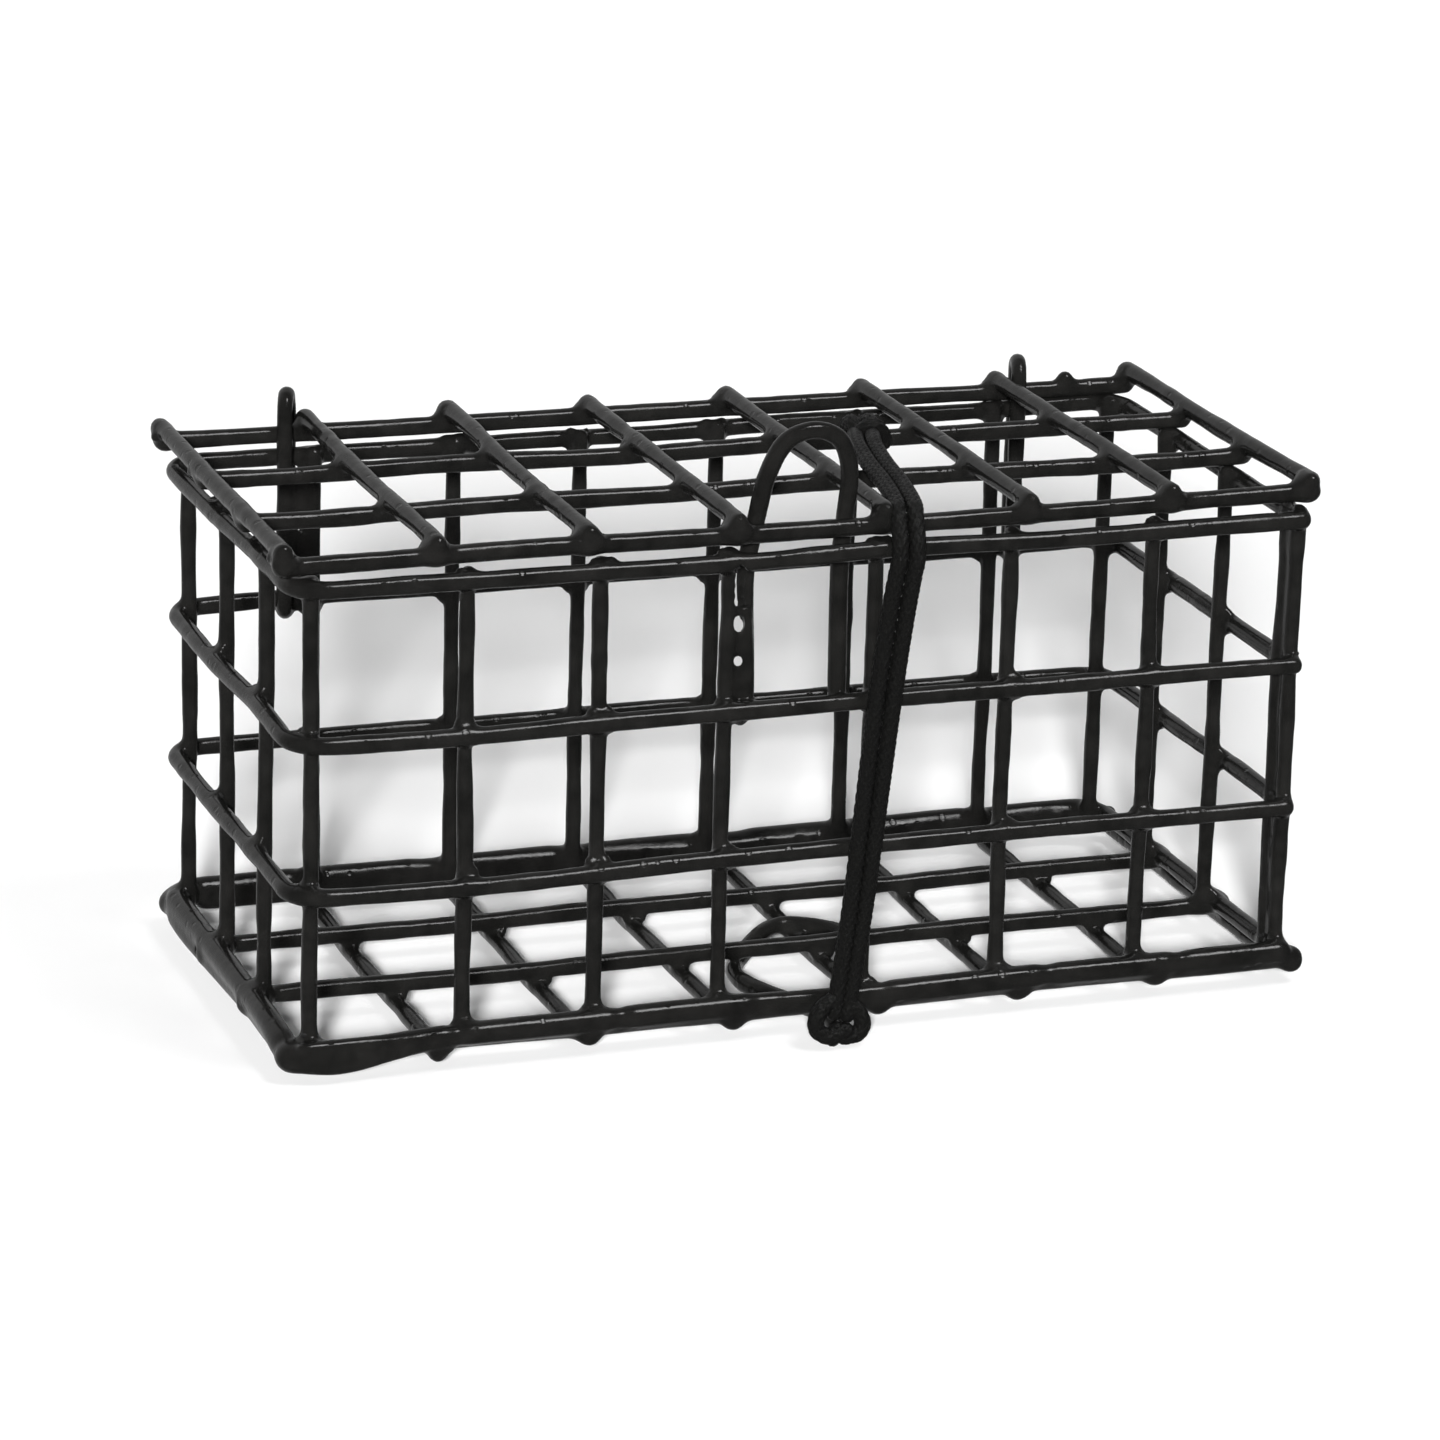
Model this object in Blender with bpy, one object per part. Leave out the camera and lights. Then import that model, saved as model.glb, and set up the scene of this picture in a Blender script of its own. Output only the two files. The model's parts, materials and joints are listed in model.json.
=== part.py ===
"""A welded-wire bait cage with a hinged lid, a wire hasp, a floor loop and an elastic closing cord.

The cage is a strip of wire mesh folded into a box wall, standing on a flat mesh floor. A flat
mesh lid turns on its back wire inside two wire loops. Every wire is its own object, because the
real cage is made of separate wires, welded where they cross and then dipped in black vinyl.

Metres, +Z up. X runs along the cage, the front (-Y) carries the hasp and the cord, and Z = 0 is
the surface that the cage stands on.
"""

import math

import bmesh
import bpy
from mathutils import Matrix, Vector

MM = 0.001

# Driving dimensions.
WIRE_RADIUS = 1.3 * MM
CROSSING_GAP = 0.2 * MM
STACK = 2 * WIRE_RADIUS + CROSSING_GAP
CELL = 25.4 * MM
RAIL_HALF_LENGTH = 87.6 * MM
RAIL_HALF_DEPTH = 40.1 * MM
CORNER_RADIUS = 6.0 * MM
RAIL_OVERSHOOT = 2.9 * MM
RAIL_END_Y = -31.4 * MM
WALL_CELLS_HIGH = 3
WALL_CELLS_LONG = 7

# Heights of the wire centre lines, from the floor up.
FLOOR_CROSS_Z = WIRE_RADIUS * math.cos(math.pi / 8)
FLOOR_LONG_Z = FLOOR_CROSS_Z + STACK
BOTTOM_RAIL_Z = FLOOR_LONG_Z + STACK
RIM_Z = BOTTOM_RAIL_Z + WALL_CELLS_HIGH * CELL
LID_LONG_Z = RIM_Z + 3.6 * MM
LID_CROSS_Z = LID_LONG_Z + STACK

# The lid: its back wire is the hinge, and the other long wires are whole cells in front of it.
HINGE_Y = 39.3 * MM
LID_HALF_LENGTH = 92.6 * MM
LID_FRONT_OVERHANG = 3.0 * MM
LID_BACK_OVERHANG = 1.6 * MM

# The floor panel sits a little to the right of and behind the wall's middle.
FLOOR_SHIFT = 0.6 * MM
FLOOR_OVERHANG_X = 2.4 * MM
FLOOR_OVERHANG_Y = 4.0 * MM

# How far each upright stands from an even spacing, left to right, because the folded strip is
# pulled askew. The corner uprights aren't in these lists.
FRONT_LEAN = [1.0, -1.0, -2.5, -2.5, -3.0, -2.0]
REAR_LEAN = [0.8, 0.5, -2.0, -2.5, -2.5, -1.0]
FRONT_RIGHT_X = 87.1 * MM
SIDE_UPRIGHT_Y = {"left": [-13.8, 10.9], "right": [-12.3, 13.3]}
UPRIGHT_FOOT_Z = BOTTOM_RAIL_Z - 1.0 * MM
UPRIGHT_TOP_Z = RIM_Z + 1.8 * MM

# The hinge loops: where each stands along X and how high its arch reaches. The bend at a loop's
# foot stops this many degrees short of closing on each side.
HINGE_LOOPS = {"left": (-66.9, 95.8), "right": (67.6, 93.4)}
LOOP_MIDDLE_Y = 39.7 * MM
LOOP_HALF_WIDTH = 3.3 * MM
LOOP_OPEN_DEG = 18

# The cord's knot stands further out than the hinge loops, so the wall's middle is this far behind
# the origin, which is under the middle of the whole object.
WALL_MIDDLE_Y = 2.2 * MM

# The elastic cord.
CORD_RADIUS = 1.2 * MM
CORD_GAP = 0.2 * MM
STRAND_SPACING = 2 * CORD_RADIUS + CORD_GAP
CORD_PIVOT = Vector((15.3, -42.8, 80.6)) * MM
HITCH_X = 28.0 * MM
HITCH_HALF_WIDTH = 2.4 * MM
HITCH_THICKNESS = 2.4 * MM
HITCH_EDGE_THICKNESS = 1.9 * MM
HITCH_CLEARANCE = 0.25 * MM
HITCH_SIDES = 16
KNOT_CENTRE = Vector((5.6, -45.4, 4.4)) * MM
KNOT_RADII = Vector((5.2, 3.3, 4.1)) * MM

WIRE_SIDES = 8
ARC_STEPS = 5


def clear_scene():
    for obj in list(bpy.data.objects):
        bpy.data.objects.remove(obj, do_unlink=True)


def material(name, colour, roughness):
    made = bpy.data.materials.new(name)
    made.use_nodes = True
    shader = made.node_tree.nodes["Principled BSDF"]
    shader.inputs["Base Color"].default_value = (*colour, 1.0)
    shader.inputs["Roughness"].default_value = roughness
    shader.inputs["Metallic"].default_value = 0.0
    return made


def ring_frames(points, up):
    """A (point, side, up) frame for each point, carried along the path without twisting."""
    frames = []
    count = len(points)
    for i, point in enumerate(points):
        before = points[max(i - 1, 0)]
        after = points[min(i + 1, count - 1)]
        along = (after - before).normalized()
        up = (up - along * up.dot(along)).normalized()
        frames.append((point, along.cross(up), up))
    return frames


def wire(name, points, look, radius=WIRE_RADIUS, origin=(0, 0, 0)):
    """One round wire along the points, with chamfered ends, as one closed object."""
    points = [Vector(p) for p in points]
    start = (points[1] - points[0]).normalized()
    end = (points[-1] - points[-2]).normalized()
    chamfer = 0.45 * radius
    path = [points[0], points[0] + start * chamfer, *points[1:-1], points[-1] - end * chamfer, points[-1]]
    radii = [0.6 * radius, *[radius] * (len(path) - 2), 0.6 * radius]
    up = Vector((0, 0, 1)) if abs(start.z) < 0.9 else Vector((0, 1, 0))
    mesh = bmesh.new()
    rings = []
    for (point, side, lift), size in zip(ring_frames(path, up), radii):
        ring = []
        for k in range(WIRE_SIDES):
            angle = 2 * math.pi * (k + 0.5) / WIRE_SIDES
            ring.append(mesh.verts.new(point + side * math.cos(angle) * size + lift * math.sin(angle) * size))
        rings.append(ring)
    for lower, upper in zip(rings, rings[1:]):
        for k in range(WIRE_SIDES):
            following = (k + 1) % WIRE_SIDES
            mesh.faces.new((lower[k], lower[following], upper[following], upper[k]))
    mesh.faces.new(reversed(rings[0]))
    mesh.faces.new(rings[-1])
    bmesh.ops.recalc_face_normals(mesh, faces=mesh.faces)
    return place(name, mesh, look, origin)


def place(name, mesh, look, origin):
    """Turns a bmesh into an object whose own origin is at the given point. Both are measured from
    the wall's middle, and the object goes where that stands."""
    origin = Vector(origin)
    bmesh.ops.transform(mesh, matrix=Matrix.Translation(-origin), verts=mesh.verts)
    data = bpy.data.meshes.new(name)
    mesh.to_mesh(data)
    mesh.free()
    data.materials.append(look)
    data.shade_smooth()
    data.set_sharp_from_angle(angle=math.radians(50))
    obj = bpy.data.objects.new(name, data)
    obj.location = origin + Vector((0, WALL_MIDDLE_Y, 0))
    bpy.context.scene.collection.objects.link(obj)
    return obj


def arc(centre, radius, start_deg, end_deg, steps=ARC_STEPS):
    """Points of a circular arc in the plane, as (a, b) pairs."""
    points = []
    for i in range(steps + 1):
        angle = math.radians(start_deg + (end_deg - start_deg) * i / steps)
        points.append((centre[0] + radius * math.cos(angle), centre[1] + radius * math.sin(angle)))
    return points


def smooth(points, steps):
    """A smooth curve through hand-set points, with the given number of steps in each stretch."""
    points = [Vector(p) for p in points]
    padded = [2 * points[0] - points[1], *points, 2 * points[-1] - points[-2]]
    curve = []
    for a, b, c, d in zip(padded, padded[1:], padded[2:], padded[3:]):
        for i in range(steps):
            t = i / steps
            curve.append(
                0.5
                * (2 * b + (c - a) * t + (2 * a - 5 * b + 4 * c - d) * t**2 + (3 * b - a - 3 * c + d) * t**3)
            )
    curve.append(points[-1])
    return curve


def rail(name, z, look):
    """One long wire of the wall strip: along the front from the right, round three corners, and back
    along the right side, ending just behind the strip's other end."""
    x = RAIL_HALF_LENGTH - CORNER_RADIUS
    y = RAIL_HALF_DEPTH - CORNER_RADIUS
    outline = [(FRONT_RIGHT_X + RAIL_OVERSHOOT, -RAIL_HALF_DEPTH)]
    outline += arc((-x, -y), CORNER_RADIUS, 270, 180)
    outline += arc((-x, y), CORNER_RADIUS, 180, 90)
    outline += arc((x, y), CORNER_RADIUS, 90, 0)
    outline.append((RAIL_HALF_LENGTH, RAIL_END_Y))
    return wire(name, [(a, b, z) for a, b in outline], look)


def upright(name, x, y, look):
    return wire(name, [(x, y, UPRIGHT_FOOT_Z), (x, y, UPRIGHT_TOP_Z)], look)


def wall(look):
    for i, level in enumerate(["bottom", "lower", "upper", "rim"]):
        rail(f"wall_rail_{level}", BOTTOM_RAIL_Z + i * CELL, look)
    inside_y = RAIL_HALF_DEPTH - STACK
    inside_x = RAIL_HALF_LENGTH - STACK
    inset = (CORNER_RADIUS - STACK) * math.cos(math.pi / 4)
    corner_x = RAIL_HALF_LENGTH - CORNER_RADIUS + inset
    corner_y = RAIL_HALF_DEPTH - CORNER_RADIUS + inset
    upright("upright_corner_front_left", -corner_x, -corner_y, look)
    upright("upright_corner_rear_left", -corner_x, corner_y, look)
    upright("upright_corner_rear_right", corner_x, corner_y, look)
    upright("upright_corner_front_right", FRONT_RIGHT_X, -inside_y, look)
    upright("upright_seam_front_right", FRONT_RIGHT_X - 0.5 * MM, -inside_y + STACK, look)
    for i, lean in enumerate(FRONT_LEAN, start=1):
        even = -corner_x + (FRONT_RIGHT_X + corner_x) * i / WALL_CELLS_LONG
        upright(f"upright_front_{i}", even + lean * MM, -inside_y, look)
    for i, lean in enumerate(REAR_LEAN, start=1):
        even = (i - WALL_CELLS_LONG / 2) * CELL
        upright(f"upright_rear_{i}", even + lean * MM, inside_y, look)
    for side, sign in (("left", -1), ("right", 1)):
        for i, y in enumerate(SIDE_UPRIGHT_Y[side], start=1):
            upright(f"upright_{side}_{i}", sign * inside_x, y * MM, look)


def floor_panel(look):
    half_length = WALL_CELLS_LONG * CELL / 2
    half_depth = 3 * CELL / 2
    for i in range(WALL_CELLS_LONG + 1):
        x = FLOOR_SHIFT - half_length + i * CELL
        front = FLOOR_SHIFT - half_depth - FLOOR_OVERHANG_Y
        back = FLOOR_SHIFT + half_depth + FLOOR_OVERHANG_Y
        wire(f"floor_cross_wire_{i + 1}", [(x, front, FLOOR_CROSS_Z), (x, back, FLOOR_CROSS_Z)], look)
    for i, place_name in enumerate(["front", "mid_front", "mid_rear", "back"]):
        y = FLOOR_SHIFT - half_depth + i * CELL
        left = FLOOR_SHIFT - half_length - FLOOR_OVERHANG_X
        right = FLOOR_SHIFT + half_length + FLOOR_OVERHANG_X
        wire(f"floor_long_wire_{place_name}", [(left, y, FLOOR_LONG_Z), (right, y, FLOOR_LONG_Z)], look)


def lid(look):
    hinge = (0, HINGE_Y, LID_LONG_Z)
    front_y = HINGE_Y - 3 * CELL
    for i, place_name in enumerate(["back", "mid_rear", "mid_front", "front"]):
        y = HINGE_Y - i * CELL
        ends = [(-LID_HALF_LENGTH, y, LID_LONG_Z), (LID_HALF_LENGTH, y, LID_LONG_Z)]
        wire(f"lid_long_wire_{place_name}", ends, look, origin=hinge)
    for i in range(WALL_CELLS_LONG + 1):
        x = (i - WALL_CELLS_LONG / 2) * CELL
        ends = [(x, front_y - LID_FRONT_OVERHANG, LID_CROSS_Z), (x, HINGE_Y + LID_BACK_OVERHANG, LID_CROSS_Z)]
        wire(f"lid_cross_wire_{i + 1}", ends, look, origin=hinge)


def hinge_loop(side, look):
    """A tall link of wire, bent shut under the upper rail, that holds the rim and the lid's back wire."""
    x, top = HINGE_LOOPS[side]
    arch = (LOOP_MIDDLE_Y, top * MM - LOOP_HALF_WIDTH)
    foot = (LOOP_MIDDLE_Y, RIM_Z - CELL)
    outline = arc(foot, LOOP_HALF_WIDTH, 270 - LOOP_OPEN_DEG, 180, steps=4)
    outline += arc(arch, LOOP_HALF_WIDTH, 180, 0, steps=8)
    outline += arc(foot, LOOP_HALF_WIDTH, 360, 270 + LOOP_OPEN_DEG, steps=4)
    wire(f"hinge_loop_{side}", [(x * MM, a, b) for a, b in outline], look)


def hasp(look):
    """The tall staple that stands up through the lid. Its feet lie against the upper rail."""
    points = [
        (-9.1, -37.2, 55.2),
        (-8.9, -36.2, 66.0),
        (-8.6, -33.4, 79.0),
        (-7.6, -31.8, 88.0),
        (-6.2, -31.8, 96.0),
        (-3.0, -31.8, 101.4),
        (2.4, -31.8, 103.4),
        (6.7, -31.8, 100.8),
        (8.3, -31.8, 95.0),
        (8.0, -31.8, 87.5),
        (7.3, -33.4, 79.0),
        (7.1, -36.2, 67.0),
        (7.1, -37.2, 57.0),
    ]
    wire("hasp", smooth([Vector(p) * MM for p in points], 2), look)


def floor_loop(look):
    """The loop bent from one wire that the cord's knot hooks under: it runs in below the front wires,
    passes under one long floor wire, turns back over a cross wire and stops at the long wire."""
    low = FLOOR_CROSS_Z / MM
    high = FLOOR_LONG_Z / MM + 0.1
    points = [
        (5.6, -41.0, low),
        (5.2, -34.5, low),
        (2.2, -28.5, low),
        (-1.1, -22.0, low),
        (-2.5, -16.5, low),
        (-1.6, -11.0, low),
        (1.6, -6.4, low + 0.8),
        (6.0, -2.2, low + 2.4),
        (10.8, 0.9, high),
        (15.6, -0.6, high),
        (19.2, -4.6, high),
        (20.3, -9.0, high),
    ]
    wire("floor_loop", smooth([Vector(p) * MM for p in points], 2), look)


def cord_centre_line():
    """The middle of the doubled cord from the lid's rear middle wire to the knot, in millimetres."""
    over = (LID_LONG_Z + WIRE_RADIUS + CORD_GAP + CORD_RADIUS) / MM
    return [
        (27.2, 9.6, over),
        (24.4, 1.0, over + 0.1),
        (21.3, -11.5, over + 0.1),
        (19.3, -24.0, over),
        (17.2, -35.2, over),
        (16.5, -38.9, 88.6),
        (16.1, -42.0, 85.0),
        (15.7, -42.8, 82.2),
    ], [
        (CORD_PIVOT.x / MM, CORD_PIVOT.y / MM, CORD_PIVOT.z / MM),
        (14.5, -42.9, 75.0),
        (13.2, -42.9, 66.0),
        (11.9, -42.9, 55.0),
        (10.6, -42.9, 44.0),
        (9.6, -43.0, 33.0),
        (8.7, -43.3, 22.0),
        (7.4, -44.0, 9.2),
    ]


def strand(name, centre_line, offset, look, origin):
    """One of the two strands, beside the centre line and as far from it as the offset says."""
    points = smooth([Vector(p) * MM for p in centre_line], 3)
    moved = []
    for i, point in enumerate(points):
        along = (points[min(i + 1, len(points) - 1)] - points[max(i - 1, 0)]).normalized()
        sideways = Vector((1, 0, 0)) - along * along.x
        moved.append(point + sideways.normalized() * offset)
    return wire(name, moved, look, radius=CORD_RADIUS, origin=origin)


def pod(name, centre, radii, look, origin, rings=8, sides=12):
    """A closed egg-shaped solid, flattened where the radii differ."""
    mesh = bmesh.new()
    bmesh.ops.create_uvsphere(mesh, u_segments=sides, v_segments=rings, radius=1.0)
    bmesh.ops.scale(mesh, vec=radii, verts=mesh.verts)
    bmesh.ops.translate(mesh, vec=centre, verts=mesh.verts)
    return place(name, mesh, look, origin)


def hitch(look, origin):
    """The cord's looped end, drawn tight round the lid's rear middle wire: a thick turned ring."""
    wire_y = HINGE_Y - CELL
    bore = WIRE_RADIUS + HITCH_CLEARANCE
    edge = bore + HITCH_EDGE_THICKNESS
    half = HITCH_HALF_WIDTH
    mesh = bmesh.new()
    profile = [(bore, -half), (edge, -half), (bore + HITCH_THICKNESS, 0), (edge, half), (bore, half)]
    rings = []
    for k in range(HITCH_SIDES):
        angle = 2 * math.pi * k / HITCH_SIDES
        ring = []
        for radius, x in profile:
            y = wire_y + radius * math.cos(angle)
            z = LID_LONG_Z + radius * math.sin(angle)
            ring.append(mesh.verts.new((HITCH_X + x, y, z)))
        rings.append(ring)
    for k in range(HITCH_SIDES):
        here = rings[k]
        there = rings[(k + 1) % HITCH_SIDES]
        for j in range(len(profile)):
            following = (j + 1) % len(profile)
            mesh.faces.new((here[j], here[following], there[following], there[j]))
    bmesh.ops.recalc_face_normals(mesh, faces=mesh.faces)
    return place("cord_hitch", mesh, look, origin)


def cord(look):
    hinge = (0, HINGE_Y, LID_LONG_Z)
    on_lid, in_front = cord_centre_line()
    for side, sign in (("left", -1), ("right", 1)):
        offset = sign * STRAND_SPACING / 2
        strand(f"cord_top_strand_{side}", on_lid, offset, look, hinge)
        strand(f"cord_front_strand_{side}", in_front, offset, look, CORD_PIVOT)
    hitch(look, hinge)
    pod("cord_knot", KNOT_CENTRE, KNOT_RADII, look, CORD_PIVOT)


def main():
    clear_scene()
    vinyl = material("black_vinyl_coating", (0.012, 0.012, 0.013), 0.28)
    braid = material("black_elastic_braid", (0.016, 0.016, 0.017), 0.75)
    floor_panel(vinyl)
    wall(vinyl)
    lid(vinyl)
    for side in HINGE_LOOPS:
        hinge_loop(side, vinyl)
    hasp(vinyl)
    floor_loop(vinyl)
    cord(braid)


main()
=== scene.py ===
"""Looks for the wire mesh bait cage: dip-coated wire skins, a braided elastic cord, light and camera.

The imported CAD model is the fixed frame. Each group of welded wires is shown as one continuous skin,
made as a distance field: every wire is a chain of capsules along a slightly wavy path, neighbours
melt together where they touch, and the surface of the field is meshed. Lengths here are in
millimetres until a mesh is made, and the wall's middle is WALL_MIDDLE_Y behind the origin.
"""

import json
import math

import bmesh
import bpy
import numpy as np
import openvdb
from mathutils import Matrix, Vector


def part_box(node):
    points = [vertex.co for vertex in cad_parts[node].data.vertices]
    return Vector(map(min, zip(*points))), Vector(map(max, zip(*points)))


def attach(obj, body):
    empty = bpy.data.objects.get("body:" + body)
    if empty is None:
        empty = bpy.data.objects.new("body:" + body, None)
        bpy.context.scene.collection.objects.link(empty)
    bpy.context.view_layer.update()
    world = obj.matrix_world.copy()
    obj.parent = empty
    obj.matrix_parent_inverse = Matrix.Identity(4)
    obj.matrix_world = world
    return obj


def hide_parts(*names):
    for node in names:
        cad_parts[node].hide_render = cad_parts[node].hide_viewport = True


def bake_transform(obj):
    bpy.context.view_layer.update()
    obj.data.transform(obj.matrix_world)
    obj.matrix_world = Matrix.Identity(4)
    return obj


MM = 0.001
WALL_MIDDLE_Y = 2.2
STEP = 0.45

COAT_RADIUS = 1.52
UPRIGHT_RADIUS = 1.32
MELT = 2.1
CELL = 25.4
UP = np.array([0.0, 0.0, 1.0])

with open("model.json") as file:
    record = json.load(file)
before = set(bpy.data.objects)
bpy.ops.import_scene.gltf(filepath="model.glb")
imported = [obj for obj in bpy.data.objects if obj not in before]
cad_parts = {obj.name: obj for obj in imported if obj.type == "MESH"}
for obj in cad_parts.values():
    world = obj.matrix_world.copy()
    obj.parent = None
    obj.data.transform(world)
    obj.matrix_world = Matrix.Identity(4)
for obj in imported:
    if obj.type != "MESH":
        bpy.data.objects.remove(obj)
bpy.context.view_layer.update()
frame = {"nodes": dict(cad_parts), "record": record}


# ---------------------------------------------------------------- paths

def cad_middle_line(node):
    """The two ends of a straight CAD wire's middle line, in millimetres in the wall's frame."""
    low, high = (np.array(corner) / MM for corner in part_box(node))
    low[1] -= WALL_MIDDLE_Y
    high[1] -= WALL_MIDDLE_Y
    along = int(np.argmax(high - low))
    middle = (low + high) / 2
    start, end = middle.copy(), middle.copy()
    start[along], end[along] = low[along], high[along]
    return start, end


def catmull(points, steps):
    """A smooth curve through given points."""
    points = [np.array(p, float) for p in points]
    padded = [2 * points[0] - points[1], *points, 2 * points[-1] - points[-2]]
    curve = []
    for a, b, c, d in zip(padded, padded[1:], padded[2:], padded[3:]):
        for t in np.arange(steps) / steps:
            bend = (2 * a - 5 * b + 4 * c - d) * t**2 + (3 * b - a - 3 * c + d) * t**3
            curve.append(0.5 * (2 * b + (c - a) * t + bend))
    curve.append(points[-1])
    return np.array(curve)


def resample(points, spacing):
    points = np.array(points, float)
    lengths = np.r_[0, np.cumsum(np.linalg.norm(np.diff(points, axis=0), axis=1))]
    at = np.linspace(0, lengths[-1], max(2, int(lengths[-1] / spacing) + 1))
    return np.stack([np.interp(at, lengths, points[:, k]) for k in range(3)], axis=1)


def wander(count, spacing, wavelength, rng):
    """Smooth random numbers between about -1 and 1 along a wire."""
    knots = max(4, int(count * spacing / wavelength) + 4)
    values = rng.uniform(-1, 1, knots)
    at = np.linspace(0.5, knots - 2.5, count)
    i = at.astype(int)
    t = at - i
    t = t * t * (3 - 2 * t)
    return values[i] * (1 - t) + values[i + 1] * t


def wavy(points, seed, sway=0.22, swell=0.06, radius=COAT_RADIUS, spacing=1.2):
    """The path with a hand-bent wire's sway, and the coat's changing radius along it."""
    rng = np.random.default_rng(seed)
    line = resample(points, spacing)
    count = len(line)
    along = np.gradient(line, axis=0)
    along /= np.linalg.norm(along, axis=1)[:, None] + 1e-9
    side = np.cross(along, UP)
    flat = np.linalg.norm(side, axis=1) < 0.3
    side[flat] = np.array([1.0, 0.0, 0.0])
    lift = np.cross(side, along)
    line = line + side * (sway * wander(count, spacing, 24, rng))[:, None]
    line = line + lift * (sway * wander(count, spacing, 30, rng))[:, None]
    swelling = 1 + swell * wander(count, spacing, 7, rng) + 0.5 * swell * wander(count, spacing, 2.6, rng)
    return line, radius * swelling


# ---------------------------------------------------------------- distance field

FAR = 6.0
REACH = 2.6


class Field:
    """A signed distance field on a grid, in millimetres."""

    def __init__(self, low, high):
        self.low = np.array(low, float)
        self.size = np.ceil((np.array(high, float) - self.low) / STEP).astype(int) + 1
        self.values = np.full(self.size, FAR, np.float32)

    def block(self, low, high):
        first = np.clip(np.floor((low - self.low) / STEP).astype(int), 0, self.size - 1)
        last = np.clip(np.ceil((high - self.low) / STEP).astype(int) + 1, 1, self.size)
        return first, last

    def axes(self, first, last):
        return [
            (self.low[k] + STEP * np.arange(first[k], last[k])).astype(np.float32).reshape(shape)
            for k, shape in enumerate([(-1, 1, 1), (1, -1, 1), (1, 1, -1)])
        ]

    def capsules(self, line, radii):
        """The distance to a chain of capsules, on the block of the grid round it."""
        reach = REACH + float(np.max(radii))
        first, last = self.block(line.min(0) - reach, line.max(0) + reach)
        made = np.full(last - first, 90.0, np.float32)
        for p, q, rp, rq in zip(line, line[1:], radii, radii[1:]):
            a, b = self.block(np.minimum(p, q) - reach, np.maximum(p, q) + reach)
            x, y, z = self.axes(a, b)
            d = q - p
            t = ((x - p[0]) * d[0] + (y - p[1]) * d[1] + (z - p[2]) * d[2]) / max(d @ d, 1e-9)
            np.clip(t, 0, 1, out=t)
            gap = (x - p[0] - t * d[0]) ** 2
            gap = gap + (y - p[1] - t * d[1]) ** 2
            gap += (z - p[2] - t * d[2]) ** 2
            gap = np.sqrt(gap) - (rp + t * (rq - rp))
            part = made[tuple(slice(i - f, j - f) for i, j, f in zip(a, b, first))]
            np.minimum(part, gap, out=part)
        return first, last, made

    def add(self, line, radii, melt=MELT):
        """Melts a chain of capsules into the field."""
        line = np.array(line, float)
        radii = np.broadcast_to(radii, len(line)).astype(float)
        first, last, new = self.capsules(line, radii)
        old = self.values[tuple(slice(i, j) for i, j in zip(first, last))]
        h = np.clip(0.5 + 0.5 * (old - new) / melt, 0, 1)
        old[...] = old * (1 - h) + new * h - melt * h * (1 - h)

    def cut(self, line, radii, melt=0.5):
        """Melts a hole or a pit out of the field."""
        line = np.array(line, float)
        radii = np.broadcast_to(radii, len(line)).astype(float)
        first, last, new = self.capsules(line, radii)
        old = self.values[tuple(slice(i, j) for i, j in zip(first, last))]
        h = np.clip(0.5 - 0.5 * (old + new) / melt, 0, 1)
        old[...] = old * (1 - h) - new * h + melt * h * (1 - h)

    def blob(self, centre, radius, melt=1.4):
        centre = np.array(centre, float)
        self.add([centre, centre + [0, 0, 0.01]], radius, melt)

    def web(self, line_a, line_b, thickness, melt=1.0, gaps=()):
        """A thin skin of coating between two stretches of wire. gaps are shares of its length left open."""
        count = max(3, int(np.linalg.norm(np.diff(resample(line_a, 1.0), axis=0), axis=1).sum() / 0.7))
        a = catmull_count(line_a, count)
        b = catmull_count(line_b, count)
        for i in range(count):
            share = i / (count - 1)
            if any(low < share < high for low, high in gaps):
                continue
            self.add([a[i], b[i]], thickness, melt)

    def mesh(self):
        """(points in millimetres, quads) of the zero surface."""
        grid = openvdb.FloatGrid(FAR)
        values = np.clip(self.values, -2.0, 2.0)
        values[values >= 2.0] = FAR
        grid.copyFromArray(values, tolerance=0)
        points, quads = grid.convertToQuads(isovalue=0.0)
        return points.astype(float) * STEP + self.low, quads.astype(int)


def catmull_count(line, count):
    line = np.array(line, float)
    lengths = np.r_[0, np.cumsum(np.linalg.norm(np.diff(line, axis=0), axis=1))]
    at = np.linspace(0, lengths[-1], count)
    return np.stack([np.interp(at, lengths, line[:, k]) for k in range(3)], axis=1)


def to_world(points):
    return (np.array(points, float) + [0, WALL_MIDDLE_Y, 0]) * MM


def mesh_object(name, points, faces, look, smooth=True):
    """Makes an object from points in the wall's frame, in millimetres."""
    data = bpy.data.meshes.new(name)
    data.from_pydata(to_world(points).tolist(), [], [tuple(f) for f in faces])
    data.materials.append(look)
    if smooth:
        data.shade_smooth()
    data.update()
    obj = bpy.data.objects.new(name, data)
    bpy.context.scene.collection.objects.link(obj)
    return obj


# ---------------------------------------------------------------- materials

def nodes_of(material_name):
    made = bpy.data.materials.new(material_name)
    made.use_nodes = True
    tree = made.node_tree
    shader = tree.nodes["Principled BSDF"]
    return made, tree, shader


def add_node(tree, kind, **settings):
    node = tree.nodes.new(kind)
    for key, value in settings.items():
        if key in node.inputs:
            node.inputs[key].default_value = value
        else:
            setattr(node, key, value)
    return node


def ramp(tree, source, stops):
    node = tree.nodes.new("ShaderNodeValToRGB")
    elements = node.color_ramp.elements
    elements[0].position = stops[0][0]
    elements[-1].position = stops[-1][0]
    for position, _ in stops[1:-1]:
        elements.new(position)
    for element, (_, value) in zip(elements, stops):
        element.color = (value, value, value, 1) if isinstance(value, float) else (*value, 1)
    tree.links.new(source, node.inputs["Fac"])
    return node.outputs["Color"]


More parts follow.
